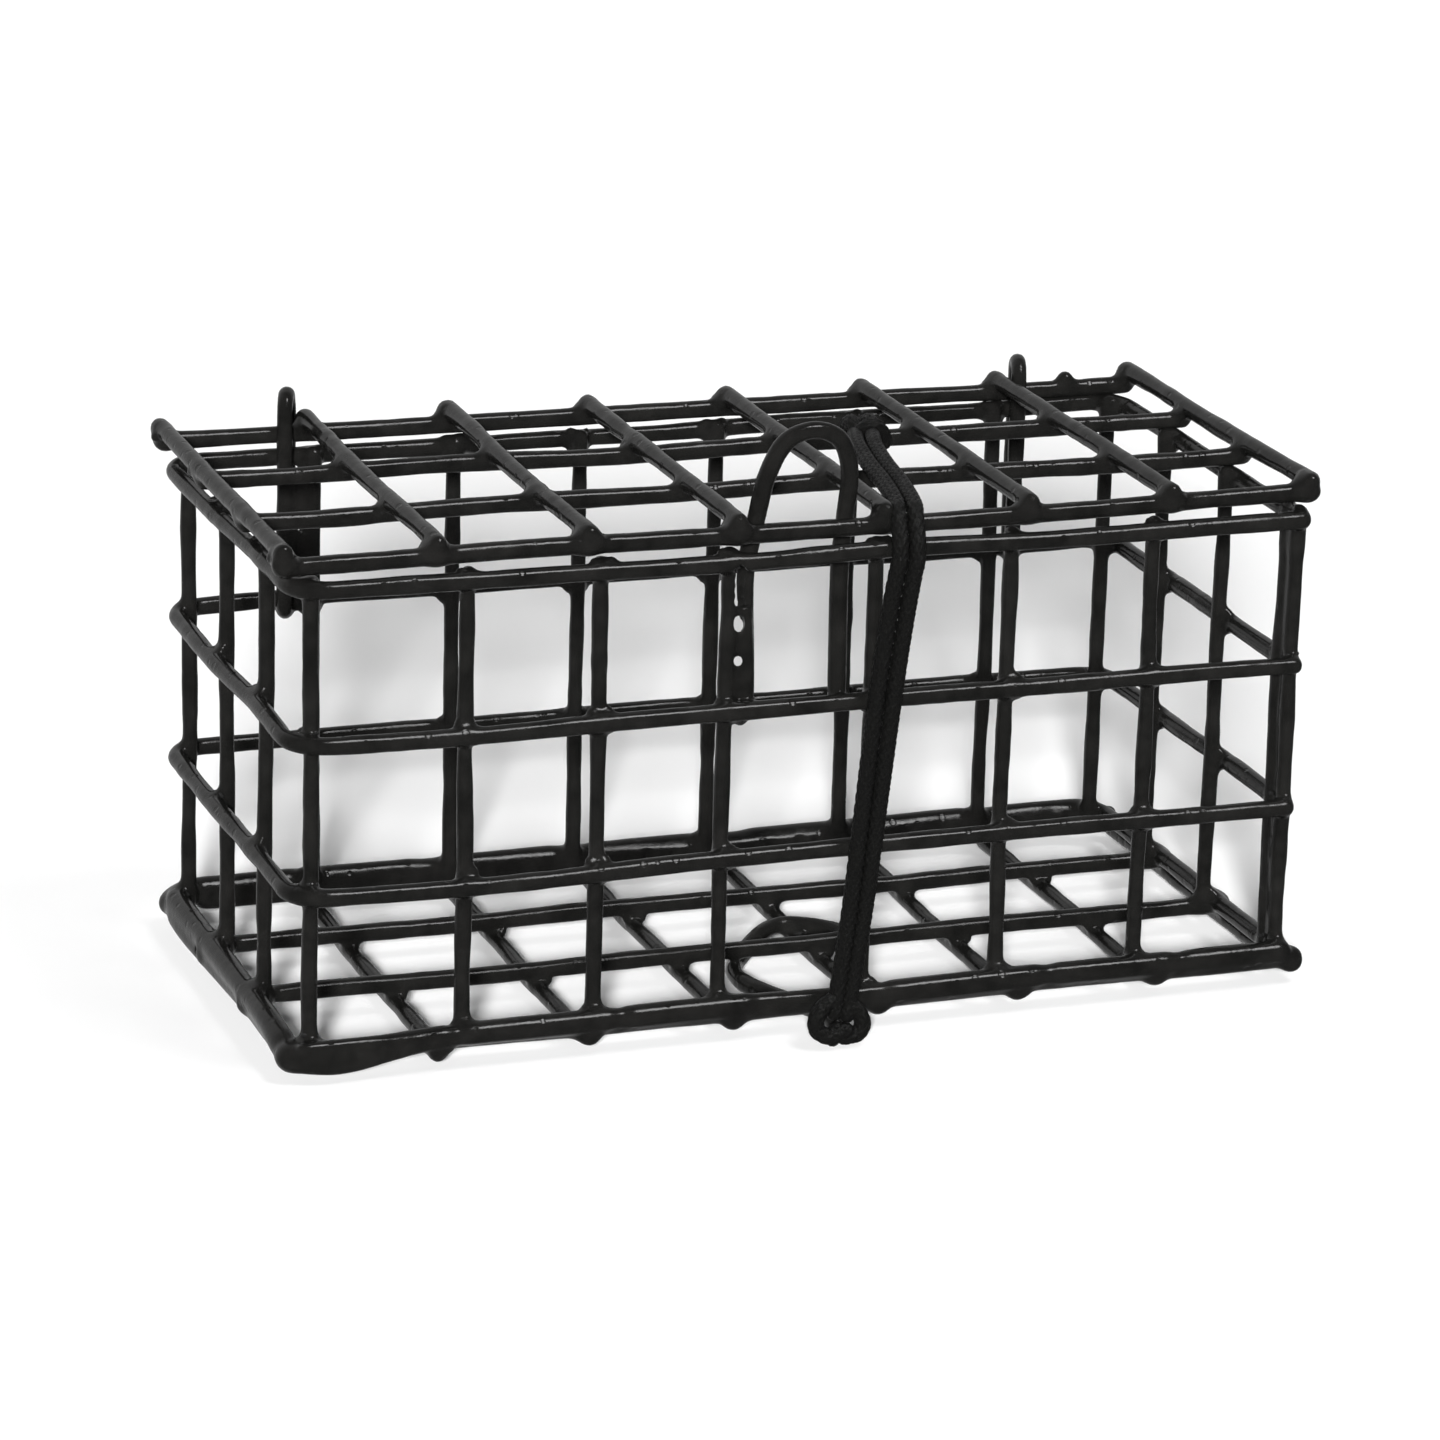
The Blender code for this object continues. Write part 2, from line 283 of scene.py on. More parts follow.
def vinyl():
    """Black dipped vinyl: glossy, with a soft orange peel, small pits and slight dust."""
    made, tree, shader = nodes_of("vinyl_coat")
    link = tree.links.new
    place = add_node(tree, "ShaderNodeTexCoord").outputs["Object"]
    cloud = add_node(tree, "ShaderNodeTexNoise", Scale=190.0, Detail=4.0, Roughness=0.6)
    link(place, cloud.inputs["Vector"])
    fine = add_node(tree, "ShaderNodeTexNoise", Scale=1500.0, Detail=3.0, Roughness=0.55)
    link(place, fine.inputs["Vector"])
    peel = add_node(tree, "ShaderNodeTexNoise", Scale=520.0, Detail=2.0, Roughness=0.5)
    link(place, peel.inputs["Vector"])
    pits = add_node(tree, "ShaderNodeTexVoronoi", Scale=330.0, Randomness=1.0)
    link(place, pits.inputs["Vector"])
    colour = ramp(tree, cloud.outputs["Fac"], [(0.3, (0.0035, 0.0035, 0.0033)), (0.75, (0.0085, 0.0083, 0.0078))])
    link(colour, shader.inputs["Base Color"])
    rough = ramp(tree, cloud.outputs["Fac"], [(0.25, 0.13), (0.6, 0.2), (0.85, 0.32)])
    link(rough, shader.inputs["Roughness"])
    pit_shape = ramp(tree, pits.outputs["Distance"], [(0.0, 0.0), (0.16, 0.2), (0.24, 1.0)])
    first = add_node(tree, "ShaderNodeBump", Strength=0.2, Distance=0.0003)
    link(peel.outputs["Fac"], first.inputs["Height"])
    second = add_node(tree, "ShaderNodeBump", Strength=0.14, Distance=0.0001)
    link(fine.outputs["Fac"], second.inputs["Height"])
    link(first.outputs["Normal"], second.inputs["Normal"])
    third = add_node(tree, "ShaderNodeBump", Strength=0.3, Distance=0.0003)
    link(pit_shape, third.inputs["Height"])
    link(second.outputs["Normal"], third.inputs["Normal"])
    link(third.outputs["Normal"], shader.inputs["Normal"])
    shader.inputs["IOR"].default_value = 1.48
    return made


def bubble_vinyl():
    """The same vinyl where it has boiled into small hard bubbles: smoother and glossier."""
    made, tree, shader = nodes_of("vinyl_bubbles")
    place = add_node(tree, "ShaderNodeTexCoord").outputs["Object"]
    cloud = add_node(tree, "ShaderNodeTexNoise", Scale=400.0, Detail=2.0)
    tree.links.new(place, cloud.inputs["Vector"])
    colour = ramp(tree, cloud.outputs["Fac"], [(0.3, (0.007, 0.007, 0.007)), (0.7, (0.013, 0.013, 0.013))])
    tree.links.new(colour, shader.inputs["Base Color"])
    rough = ramp(tree, cloud.outputs["Fac"], [(0.3, 0.08), (0.7, 0.2)])
    tree.links.new(rough, shader.inputs["Roughness"])
    shader.inputs["IOR"].default_value = 1.48
    return made


def braid():
    """Matte black braided cover, with fibres finer than its yarns."""
    made, tree, shader = nodes_of("elastic_braid")
    link = tree.links.new
    place = add_node(tree, "ShaderNodeTexCoord").outputs["Object"]
    fuzz = add_node(tree, "ShaderNodeTexNoise", Scale=5200.0, Detail=3.0, Roughness=0.7)
    link(place, fuzz.inputs["Vector"])
    wear = add_node(tree, "ShaderNodeTexNoise", Scale=300.0, Detail=3.0)
    link(place, wear.inputs["Vector"])
    colour = ramp(tree, fuzz.outputs["Fac"], [(0.35, (0.0018, 0.0018, 0.0018)), (0.7, (0.006, 0.006, 0.0056))])
    link(colour, shader.inputs["Base Color"])
    rough = ramp(tree, wear.outputs["Fac"], [(0.3, 0.3), (0.7, 0.5)])
    link(rough, shader.inputs["Roughness"])
    bump = add_node(tree, "ShaderNodeBump", Strength=0.8, Distance=0.00012)
    link(fuzz.outputs["Fac"], bump.inputs["Height"])
    link(bump.outputs["Normal"], shader.inputs["Normal"])
    shader.inputs["Specular IOR Level"].default_value = 0.4
    return made


# ---------------------------------------------------------------- the cage's wires

RAIL_LEFT_X = -87.55
RAIL_RIGHT_X = 87.0
RAIL_Y = 39.85
RAIL_CORNER = 6.0
FRONT_RAIL_END = 86.6
SIDE_RAIL_END = -31.4
UPRIGHT_TOP = 83.6
LEVELS = ["bottom", "lower", "upper", "rim"]
SIDES = ["left", "right"]
FLOOR_LONG = ["front", "mid_front", "mid_rear", "back"]
LID_LONG = ["back", "mid_rear", "mid_front", "front"]


def corner_arc(cx, cy, start, end):
    angles = np.radians(np.linspace(start, end, 9))
    return [(cx + RAIL_CORNER * math.cos(a), cy + RAIL_CORNER * math.sin(a)) for a in angles]


def rail_outline():
    left = RAIL_LEFT_X + RAIL_CORNER
    right = RAIL_RIGHT_X - RAIL_CORNER
    y = RAIL_Y - RAIL_CORNER
    outline = [(FRONT_RAIL_END, -RAIL_Y)]
    outline += corner_arc(left, -y, 270, 180)
    outline += corner_arc(left, y, 180, 90)
    outline += corner_arc(right, y, 90, 0)
    outline.append((RAIL_RIGHT_X, SIDE_RAIL_END))
    return np.array(outline)


def rail_path(level):
    low, high = (np.array(corner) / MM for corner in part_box(f"wall_rail_{level}"))
    z = (low[2] + high[2]) / 2
    if level == "bottom":
        z -= 0.4
    outline = rail_outline()
    path = resample(np.c_[outline, np.full(len(outline), z)], 1.2)
    if level == "bottom":
        droop = np.exp(-(((path[:, 0] + 80) / 12) ** 2 + ((path[:, 1] + 38) / 8) ** 2))
        path[:, 2] -= 3.6 * droop
    elif level != "rim":
        droop = np.exp(-(((path[:, 0] + 66) / 22) ** 2 + ((path[:, 1] + 40) / 10) ** 2))
        path[:, 2] -= 0.8 * droop
    return path


def upright_path(node):
    start, end = cad_middle_line(node)
    shift = np.zeros(3)
    if abs(abs(start[1]) - 37.3) < 0.3:
        shift[1] = 0.25 * np.sign(start[1])
    elif abs(abs(start[0]) - 84.8) < 0.3:
        shift[0] = 0.25 * np.sign(start[0])
    elif "rear_left" in node:
        shift[0] = -1.0
    if "_left_" in node:
        shift[0] = -0.3
    if node == "upright_front_3":
        shift[0] = -1.1
    end = end + shift
    end[2] = UPRIGHT_TOP
    return np.array([start + shift, end])


def upright_nodes():
    names = [f"upright_corner_{c}" for c in ("front_left", "rear_left", "rear_right", "front_right")]
    names.append("upright_seam_front_right")
    names += [f"upright_front_{i}" for i in range(1, 7)]
    names += [f"upright_rear_{i}" for i in range(1, 7)]
    names += [f"upright_{side}_{i}" for side in SIDES for i in (1, 2)]
    return names


HASP = [
    (-10.7, -37.2, 57.6),
    (-10.4, -36.2, 66.0),
    (-9.7, -33.4, 79.0),
    (-7.4, -31.8, 88.0),
    (-5.6, -31.8, 95.4),
    (-2.5, -31.8, 100.4),
    (2.5, -31.8, 101.9),
    (6.9, -31.8, 99.7),
    (8.5, -31.8, 94.2),
    (7.9, -31.8, 87.5),
    (6.6, -33.4, 79.0),
    (5.6, -36.2, 67.0),
    (5.4, -37.2, 57.0),
]

FLOOR_LOOP = [
    (5.6, -41.0, 1.6),
    (5.2, -34.5, 1.6),
    (2.2, -28.5, 1.6),
    (-1.1, -22.0, 1.6),
    (-2.5, -16.5, 1.6),
    (-1.6, -11.0, 1.7),
    (1.6, -6.4, 2.2),
    (6.0, -2.2, 3.7),
    (10.8, 0.9, 4.1),
    (15.6, -0.6, 4.1),
    (19.2, -4.6, 4.1),
    (20.3, -9.0, 4.1),
]

HINGE_LOOPS = {"left": (-66.9, 95.8), "right": (67.6, 93.4)}
LOOP_MIDDLE_Y = 39.7
LOOP_HALF_WIDTH = 3.3
LOOP_TURN_DEG = {"left": 20, "right": 17}


def hinge_loop_path(side):
    x, top = HINGE_LOOPS[side]
    foot = 59.0
    arch = top - 1.8 - LOOP_HALF_WIDTH
    turn = math.radians(LOOP_TURN_DEG[side])
    points = []
    for angle in np.radians(np.linspace(252, 180, 5)):
        points.append((LOOP_HALF_WIDTH * math.cos(angle), foot + LOOP_HALF_WIDTH * math.sin(angle)))
    for angle in np.radians(np.linspace(180, 0, 12)):
        points.append((LOOP_HALF_WIDTH * math.cos(angle), arch + LOOP_HALF_WIDTH * math.sin(angle)))
    for angle in np.radians(np.linspace(360, 288, 5)):
        points.append((LOOP_HALF_WIDTH * math.cos(angle), foot + LOOP_HALF_WIDTH * math.sin(angle)))
    out = np.array([math.sin(turn), math.cos(turn)])
    return np.array([(x + out[0] * a, LOOP_MIDDLE_Y + out[1] * a, z) for a, z in points])


def crossing_gussets(field, corner, u, v, rng, size=0.85):
    """Uneven beads of coating in the four corners of a crossing. u and v are the wires' directions."""
    for su in (-1, 1):
        for sv in (-1, 1):
            radius = rng.uniform(-0.2, 0.6) * size
            if radius < 0.1:
                continue
            offset = COAT_RADIUS + 0.1 * radius
            field.blob(corner + u * su * offset + v * sv * offset, radius, melt=1.4)


def floor_wire_path(node):
    start, end = cad_middle_line(node)
    if "cross" in node:
        start[2] = end[2] = COAT_RADIUS
        start[0] += 0.4
        end[0] += 0.4
        if node.endswith("_1"):
            stations = [(-86.2, -37.4, 4.3), (-86.9, -28, 3.9), (-86.7, -12, 3.6), (-87.3, 8, 3.5)]
            return catmull([*stations, (-87.9, 26, 3.6), (-87.6, 39.2, 4.2)], 4)
        x = start[0]
        tip = [(x, -38.6, 3.6), (x, -36.4, 3.2), (x, -32, 2.6), (x, -26, 2.4)]
        return catmull([*tip, (x, -10, 2.3), (x, 15, 2.3), (x, 38.2, 2.4)], 4)
    start[2] = end[2] = 5.3
    if node == "floor_long_wire_front":
        stations = [(-87.0, -36.8), (-80, -37.0), (-60, -37.4), (-30, -38.2), (0, -38.6), (30, -38.7)]
        stations += [(60, -38.3), (80, -38.4), (87.6, -38.3)]
        return catmull([(x, y, 4.6) for x, y in stations], 3)
    start[0] = -87.2
    end[0] = 88.8
    return np.array([start, end])


X_AXIS = np.array([1.0, 0.0, 0.0])
Y_AXIS = np.array([0.0, 1.0, 0.0])
Z_AXIS = np.array([0.0, 0.0, 1.0])


def build_floor(field, rng):
    cross_x = []
    for i in range(1, 9):
        path = floor_wire_path(f"floor_cross_wire_{i}")
        cross_x.append(path[0][0])
        line, radii = wavy(path, 100 + i, sway=0.3, radius=1.45)
        line[:, 2] = np.maximum(line[:, 2], radii)
        field.add(line, radii)
    long_y = {}
    for i, name in enumerate(FLOOR_LONG):
        path = floor_wire_path(f"floor_long_wire_{name}")
        long_y[name] = path[:, 1].mean()
        line, radii = wavy(path, 120 + i, sway=0.3)
        field.add(line, radii)
    for x in cross_x:
        for y in long_y.values():
            crossing_gussets(field, np.array([x, y, 3.7]), X_AXIS, Y_AXIS, rng, size=0.5)
    # The front long wire's left end has run into a rounded head with a neck to the corner.
    field.blob((-87.4, -37.4, 3.9), 1.55)
    field.add([(-87.2, -37.4, 4.2), (-85.0, -37.6, 4.6)], 1.3)
    # Small drips hang from the front tips of the cross wires.
    for x in cross_x[1:]:
        tip = (x + rng.uniform(-0.5, 0.5), -38.8, 3.4 + 0.012 * x)
        field.blob(tip, rng.uniform(1.1, 1.35))
    field.add([(cross_x[-1] - 0.4, -38.8, 4.8), (cross_x[-1], -38.8, 3.5)], [1.3, 0.8])
    line, radii = wavy(catmull(FLOOR_LOOP, 4), 131, sway=0.1)
    field.add(line, radii)
    # Coating has filled the corner between the left end of the floor and the bottom rail.
    edge = floor_wire_path("floor_cross_wire_1")
    outer = [(RAIL_LEFT_X + 0.4, y, 6.0) for y in (-34, -16, 0, 16, 35)]
    inner = [(x - 0.2, y, z) for x, y, z in edge if -35 < y < 36]
    field.web(outer, inner, 0.85, melt=1.4)
    for y in long_y.values():
        field.blob((-87.9, y, 4.4), 1.4)
    for y in (-31.5, -29.0, -26.5, -24.0, -21.0, -18.0, 37.0):
        pit = np.array([-88.3, y + rng.uniform(-0.5, 0.5), 5.7 + rng.uniform(-0.6, 0.3)])
        field.cut([pit - X_AXIS * 1.5 + Z_AXIS, pit], rng.uniform(0.5, 0.85))
    for y in (-12.1, 13.3):
        for _ in range(4):
            pit = np.array([-88.7, y + rng.uniform(-2.4, 2.4), 5.2 + rng.uniform(-1.0, 1.0)])
            field.cut([pit - X_AXIS + Z_AXIS, pit], rng.uniform(0.45, 0.75))
    # Webs between the bottom rail and the long wires that lie along the front and the back.
    stretches = [(-86, -62), (-58, -34), (-30, -10), (16, 42), (46, 66), (70, 88)]
    for low, high in stretches:
        xs = np.linspace(low, high, 6)
        front = np.interp(xs, [-92, -60, 0, 92], [-36.4, -37.4, -38.6, -38.4])
        rail = [(x, -RAIL_Y, 6.2) for x in xs]
        wire = [(x, y, 4.6) for x, y in zip(xs, front)]
        field.web(rail, wire, 0.9)
    for low, high in [(-82, -66), (-60, -44), (-36, -18), (-10, 12), (20, 40), (44, 60), (68, 84)]:
        xs = np.linspace(low, high, 6)
        field.web([(x, RAIL_Y, 6.2) for x in xs], [(x, 38.7, 4.0) for x in xs], 0.9)
        for x in xs[1:-1]:
            pit = np.array([x + rng.uniform(-1.5, 1.5), 37.5, 5.7 + rng.uniform(-0.5, 0.5)])
            field.cut([pit - Y_AXIS * 2, pit], rng.uniform(0.5, 0.9))


def build_walls(field, rng):
    for i, level in enumerate(LEVELS):
        line, radii = wavy(rail_path(level), 200 + i, sway=0.32, swell=0.05)
        field.add(line, radii)
    spots = []
    for i, node in enumerate(upright_nodes()):
        path = upright_path(node)
        line, radii = wavy(path, 220 + i, sway=0.2, swell=0.08, radius=UPRIGHT_RADIUS)
        field.add(line, radii)
        spots.append((node, path[0]))
    for node, foot in spots:
        along = Y_AXIS if "_left_" in node or "_right_" in node else X_AXIS
        if "corner" in node or "seam" in node:
            continue
        for level in range(4):
            z = 6.4 if level == 0 else 6.8 + CELL * level
            outward = np.array([0, 1.15 * np.sign(foot[1]), 0]) if along is X_AXIS else np.array(
                [1.15 * np.sign(foot[0]), 0, 0]
            )
            corner = np.array([foot[0], foot[1], z]) + outward
            crossing_gussets(field, corner, along, Z_AXIS, rng)
    # A drip runs off the top of one rear upright.
    top = upright_path("upright_rear_2")[1]
    field.add([top, top + [2.2, 0.4, 0.3], top + [4.0, 0.6, -0.6]], [1.3, 1.0, 0.7])


def build_hasp_and_loops(field, rng):
    line, radii = wavy(catmull(HASP, 5), 300, sway=0.12, swell=0.04)
    field.add(line, radii, melt=1.4)
    # The hasp's left leg is webbed to the upright beside it, with a slot and two holes in the web.
    upright_x = upright_path("upright_front_3")[0][0]
    leg = [(-10.5, -37.0, z) for z in (58, 64, 74)]
    post = [(upright_x + 0.6, -37.3, z) for z in (56, 64, 74)]
    field.web(leg, post, 0.62)
    middle = (upright_x - 10.4) / 2 + 0.3
    through = np.array([0.33, 0.9, -0.3])
    for low, high, size in ((75.4, 80.6, 0.9), (71.0, 72.2, 0.8), (65.0, 65.5, 0.62)):
        for z in np.linspace(low, high, 4):
            hole = np.array([middle, -37.2, z])
            field.cut([hole - 4 * through, hole + 3 * through], size, melt=0.3)
    field.blob((-11.0, -38.0, 56.4), 1.0)
    field.blob((-11.6, -38.0, 55.2), 0.6)
    for side in SIDES:
        seed = 310 + SIDES.index(side)
        path = hinge_loop_path(side)
        line, radii = wavy(path, seed, sway=0.08, swell=0.06, radius=1.4)
        field.add(line, radii, melt=1.0)
        field.blob((HINGE_LOOPS[side][0], LOOP_MIDDLE_Y, 57.2), 1.7)
    # The left loop's inner leg is webbed to the rear upright beside it.
    near = upright_path("upright_rear_1")[0][0]
    leg = [(-67.6, 36.9, z) for z in (60, 68, 79)]
    post = [(near, 37.3, z) for z in (60, 68, 79)]
    field.web(leg, post, 0.65)
    middle = (near - 67.6) / 2
    field.cut([(middle, 37.1, 71.0), (middle, 37.1, 72.5)], 0.8, melt=0.3)
    field.cut([(middle, 38.4, 71.0), (middle, 38.4, 72.5)], 0.8, melt=0.3)


# ---------------------------------------------------------------- the lid

def lid_twist(line):
    """The lid is pulled slightly out of flat: its back edge stands high at the left and low at the right."""
    lifted = line.copy()
    back = np.clip((line[:, 1] + 37) / 76, 0, 1)
    lifted[:, 2] += 0.7 * np.clip((-line[:, 0] + 20) / 110, 0, 1) * back
    lifted[:, 2] -= 0.55 * np.clip((line[:, 0] - 10) / 80, 0, 1) * back
    return lifted


def build_lid(field, rng):
    long_y = []
    for i, name in enumerate(LID_LONG):
        start, end = cad_middle_line(f"lid_long_wire_{name}")
        start[2] += 0.1
        end[2] += 0.1
        start[0] = -88.6 if name in ("back", "front") else -87.9
        end[0] = 88.3
        long_y.append(start[1])
        line, radii = wavy([start, end], 400 + i, sway=0.1 if name == "back" else 0.28)
        field.add(lid_twist(line), radii)
    cross_x = []
    for i in range(1, 9):
        start, end = cad_middle_line(f"lid_cross_wire_{i}")
        cross_x.append(start[0])
        z = start[2] - 0.4
        front = np.array([start[0], start[1], z])
        back = np.array([end[0], end[1] - 2.2, z - 0.1])
        bend = [front + [0, 2.0, -1.7], front + [0, 3.2, -0.75], front + [0, 4.8, -0.15], front + [0, 7, 0]]
        bend += [back - [0, 4, 0], back]
        line, radii = wavy(catmull(bend, 4), 410 + i, sway=0.25)
        field.add(lid_twist(line), radii)
    for x in cross_x:
        for y in long_y:
            corner = lid_twist(np.array([[x, y, 87.8]]))[0]
            crossing_gussets(field, corner, X_AXIS, Y_AXIS, rng)
    # Ends that have run into beads.
    field.add([(-88.9, -38.3, 87.4), (-88.9, -38.3, 89.6)], 1.25, melt=0.8)
    field.add([(-88.1, 38.6, 87.2), (-88.1, 38.8, 88.8)], 1.35, melt=0.8)
    field.blob((88.1, -36.9, 87.6), 1.5)
    field.blob((76.7, 39.4, 87.9), 1.35)


# ---------------------------------------------------------------- bubbles

def bubbles(name, spots, look, seed):
    """Tiny bubbles of coating scattered in the creases at crossings."""
    rng = np.random.default_rng(seed)
    mesh = bmesh.new()
    for spot, spread, count in spots:
        for _ in range(count):
            radius = rng.uniform(0.16, 0.42)
            centre = np.array(spot) + rng.normal(0, 1, 3) * spread
            place = Matrix.Translation(Vector(to_world(centre))) @ Matrix.Scale(radius * MM, 4)
            bmesh.ops.create_icosphere(mesh, subdivisions=2, radius=1.0, matrix=place)
    data = bpy.data.meshes.new(name)
    mesh.to_mesh(data)
    mesh.free()
    data.materials.append(look)
    data.shade_smooth()
    obj = bpy.data.objects.new(name, data)
    bpy.context.scene.collection.objects.link(obj)
    return obj


def wall_bubble_spots(rng):
    spots = []
    for node in upright_nodes():
        x, y, _ = upright_path(node)[0]
        side = "_left_" in node or "_right_" in node
        outward = np.array([np.sign(x), 0, 0]) if side else np.array([0, np.sign(y), 0])
        for level in range(4):
            z = 6.4 if level == 0 else 6.8 + CELL * level
            if rng.uniform() < 0.25:
                continue
            crease = -1.45 if level == 3 else 1.45
            spot = np.array([x, y, z]) + outward * 1.25 + [0, 0, crease]
            spread = np.where(np.abs(outward) > 0, 0.1, [0.7, 0.7, 0.12])
            spots.append((spot, spread, int(rng.integers(4, 10))))
    return spots


def lid_bubble_spots(rng):
    spots = []
    for i in range(1, 9):
        x = cad_middle_line(f"lid_cross_wire_{i}")[0][0]
        for name in LID_LONG:
            y = cad_middle_line(f"lid_long_wire_{name}")[0][1]
            if rng.uniform() < 0.3:
                continue
            for side in (-1, 1):
                if abs(x + side) > 88:
                    continue
                spot = np.array([x + side * 1.6, y - 0.8, 87.6])
                spots.append((spot, np.array([0.3, 0.5, 0.2]), int(rng.integers(1, 5))))
    return spots


# ---------------------------------------------------------------- the cord

CORD_RADIUS = 1.46
STRAND_SPACING = 2.86
YARNS = 8
YARN_PITCH = 1.0
HITCH_X = 28.0

CORD_ON_LID = [
    (27.2, 10.8, 88.4),
    (25.4, 5.4, 89.2),
    (23.4, -1.0, 89.5),
    (21.0, -12.5, 89.6),
    (19.3, -24.0, 89.5),
    (17.0, -35.2, 89.4),
    (16.0, -38.7, 88.6),
    (15.3, -41.9, 85.2),
    (14.9, -43.1, 82.2),
]
CORD_IN_FRONT = [
    (14.5, -43.3, 80.6),
    (13.6, -43.3, 75.0),
    (12.4, -43.3, 66.0),
    (11.2, -43.3, 55.0),
    (10.1, -43.3, 44.0),
    (9.0, -43.4, 33.0),
    (7.7, -43.8, 22.0),
    (5.4, -45.2, 9.2),
    (4.2, -46.4, 4.2),
]

def braid_height(u, v):
    """How far a yarn stands out where the two families of yarns pass over and under each other."""
    over = (np.floor(u) + np.floor(v)) % 2
    first = np.abs(np.sin(np.pi * u)) * (0.55 + 0.45 * over)
    second = np.abs(np.sin(np.pi * v)) * (1.0 - 0.45 * over)
    return np.maximum(first, second)


def braided_tube(name, points, look, radius=CORD_RADIUS, relief=0.34, up=(0, 1, 0)):
    """A tube along the points, whose surface is a tubular braid, closed at both ends."""
    spacing = 0.2
    sides = 44
    line = resample(points, spacing)
    count = len(line)
    along = np.gradient(line, axis=0)
    along /= np.linalg.norm(along, axis=1)[:, None]
    up = np.array(up, float)
    angle = np.linspace(0, 2 * np.pi, sides, endpoint=False)
    distance = np.arange(count) * spacing
    rings = []
    for i in range(count):
        up = up - along[i] * (up @ along[i])
        up /= np.linalg.norm(up)
        side = np.cross(along[i], up)
        u = YARNS * angle / (2 * np.pi) + distance[i] / (2 * YARN_PITCH)
        v = YARNS * angle / (2 * np.pi) - distance[i] / (2 * YARN_PITCH) + 100
        size = radius - relief + relief * braid_height(u, v)
        cap = min(i, count - 1 - i) * spacing
        if cap < radius:
            size = size * math.sqrt(max(0.02, 1 - (1 - cap / radius) ** 2))
        rings.append(line[i] + np.outer(size * np.cos(angle), side) + np.outer(size * np.sin(angle), up))
    points = np.concatenate(rings)
    faces = []
    for i in range(count - 1):
        for k in range(sides):
            a = i * sides + k
            b = i * sides + (k + 1) % sides
            faces.append((a, b, b + sides, a + sides))
    faces.append(tuple(range(sides))[::-1])
    faces.append(tuple(range((count - 1) * sides, count * sides)))
    return mesh_object(name, points, faces, look)


def join(name, objects):
    """Joins pieces into one object, with the first one's material."""
    mesh = bmesh.new()
    for obj in objects:
        mesh.from_mesh(obj.data)
    look = objects[0].data.materials[0]
    for obj in objects:
        bpy.data.objects.remove(obj, do_unlink=True)
    data = bpy.data.meshes.new(name)
    mesh.to_mesh(data)
    mesh.free()
    data.materials.append(look)
    data.shade_smooth()
    made = bpy.data.objects.new(name, data)
    bpy.context.scene.collection.objects.link(made)
    return made


def offset_strand(sign):
    line = catmull([*CORD_ON_LID, *CORD_IN_FRONT], 8)
    along = np.gradient(line, axis=0)
    along /= np.linalg.norm(along, axis=1)[:, None]
    sideways = np.array([1.0, 0, 0]) - along * along[:, :1]
    sideways /= np.linalg.norm(sideways, axis=1)[:, None]
    squeeze = np.interp(line[:, 2], [6, 20, 50, 78, 90], [0.78, 0.9, 1.04, 1.06, 1.0])
    return line + sideways * (sign * STRAND_SPACING / 2 * squeeze)[:, None]


def build_cord(look):
    made = {}
    for side, sign in (("left", -1), ("right", 1)):
        made[side] = braided_tube(f"cord_strand_{side}", offset_strand(sign), look)
    wire_y, wire_z = 13.9, 86.7
    turns = []
    for sign in (-1, 1):
        ring = []
        for angle in np.radians(np.linspace(-100, 230, 24)):
            lean = 0.25 * math.sin(angle) * sign
            y = wire_y - 2.95 * math.cos(angle)
            z = wire_z + 2.95 * math.sin(angle)
            ring.append((HITCH_X + sign * 1.35 + lean, y, z))
        turns.append(braided_tube(f"hitch_turn_{sign}", ring, look, up=(1, 0, 0)))
    bight = [
        (HITCH_X - 2.6, wire_y - 3.4, wire_z - 1.2),
        (HITCH_X - 2.2, wire_y - 4.2, wire_z + 1.4),
        (HITCH_X - 0.8, wire_y - 4.7, wire_z + 3.2),
        (HITCH_X + 1.2, wire_y - 4.6, wire_z + 3.2),
        (HITCH_X + 2.6, wire_y - 4.0, wire_z + 1.2),
        (HITCH_X + 2.8, wire_y - 3.2, wire_z - 1.2),
    ]
    turns.append(braided_tube("hitch_bight", catmull(bight, 8), look, up=(1, 0, 0)))
    made["hitch"] = join("cord_hitch_turns", turns)
    left_lobe = [
        (4.8, -45.4, 8.0),
        (2.3, -45.8, 7.4),
        (0.2, -46.6, 5.6),
        (0.1, -47.0, 3.5),
        (1.8, -47.4, 2.3),
        (4.0, -47.5, 2.7),
        (6.3, -47.4, 3.5),
    ]
    right_lobe = [
        (5.4, -45.6, 7.2),
        (7.4, -46.0, 5.8),
        (8.3, -46.6, 3.8),
        (7.4, -47.0, 2.2),
        (5.4, -47.2, 1.9),
        (3.5, -47.2, 1.9),
    ]
    tail = [(3.9, -46.6, 4.4), (3.3, -47.0, 2.3), (2.6, -47.3, 1.55), (1.9, -47.6, 1.55)]
    knot = [
        braided_tube("knot_left_lobe", catmull(left_lobe, 8), look),
        braided_tube("knot_right_lobe", catmull(right_lobe, 8), look),
        braided_tube("knot_tail", catmull(tail, 8), look),
    ]
    made["knot"] = join("cord_knot_turns", knot)
    return made


# ---------------------------------------------------------------- pieces on their bodies

def split_by_height(points, quads, height):
    """The quads below and above a height, each with its own points."""
    centre = points[quads].mean(1)[:, 2]
    parts = []
    for chosen in (quads[centre < height], quads[centre >= height]):
        used, index = np.unique(chosen, return_inverse=True)
        parts.append((points[used], index.reshape(-1, 4)))
    return parts


def cage_nodes():
    return [n for n in frame["nodes"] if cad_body(n) == "cage"]


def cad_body(node):
    return frame["record"]["behaviour"]["bodies"] and next(
        body for body, members in frame["record"]["behaviour"]["bodies"].items() if node in members
    )


